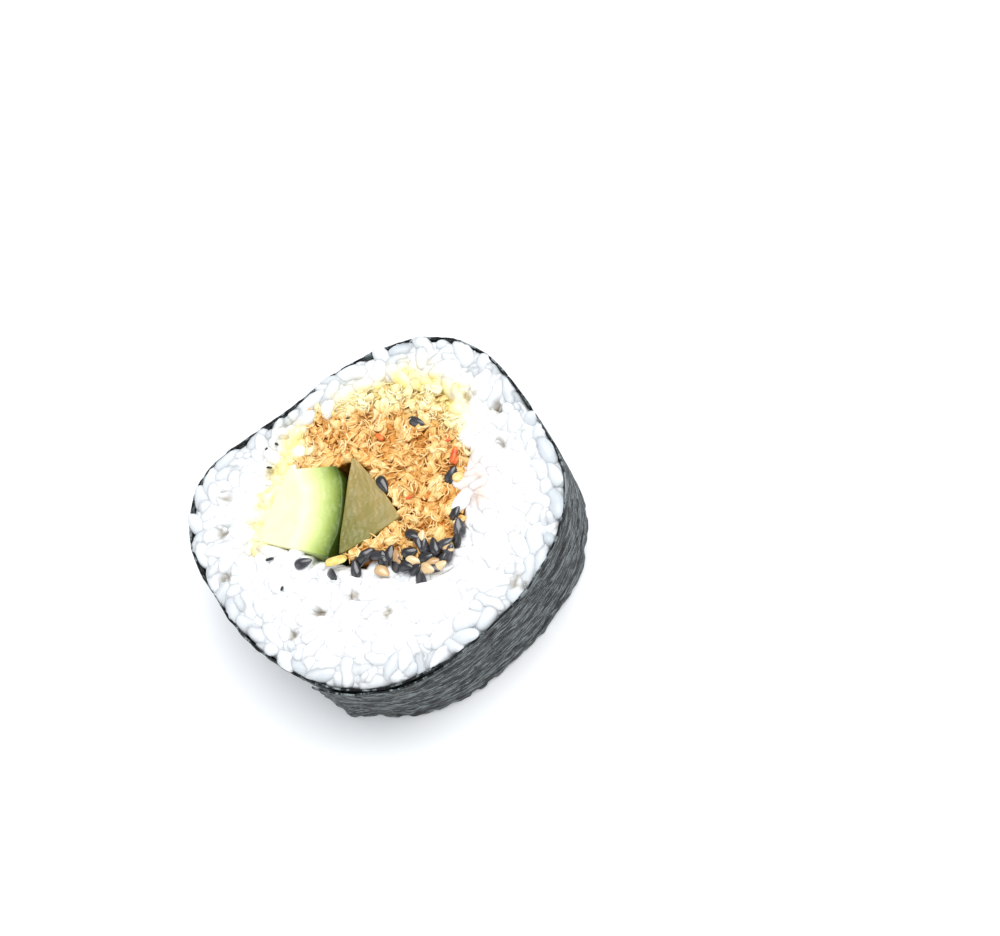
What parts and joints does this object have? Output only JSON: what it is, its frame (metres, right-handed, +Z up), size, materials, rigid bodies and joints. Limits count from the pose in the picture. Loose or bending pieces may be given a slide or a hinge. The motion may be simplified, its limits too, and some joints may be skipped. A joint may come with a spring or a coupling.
{
  "type": "tuna futomaki slice",
  "caption": "Slice of a thick sushi roll: a ring of rice in a seaweed sheet, filled with cucumber, pickled radish, flaked tuna and sesame seeds.",
  "frame": {"origin": "centre of the lower cut face, on the surface that the slice stands on", "axes": "+Z up along the roll's axis; seen on the upper cut, +Y is where the tuna heaps up and -X is the cucumber's side"},
  "size_m": [0.0652, 0.061, 0.025],
  "materials": {
    "nori": "dry toasted seaweed sheet, finely fibrous",
    "rice": "moist cooked rice, translucent and sticky",
    "tuna": "flaked cooked tuna in mayonnaise, fibrous and moist",
    "cucumber": "wet cut cucumber, green towards the skin",
    "pickle": "wet translucent pickled radish",
    "sesame": "black sesame seeds with a soft gloss"
  },
  "bodies": {
    "root": {"nori": "nori", "rice": "rice", "tuna": "tuna", "cucumber": "cucumber", "pickle": "pickle", "sesame": "sesame"}
  },
  "joints": []
}
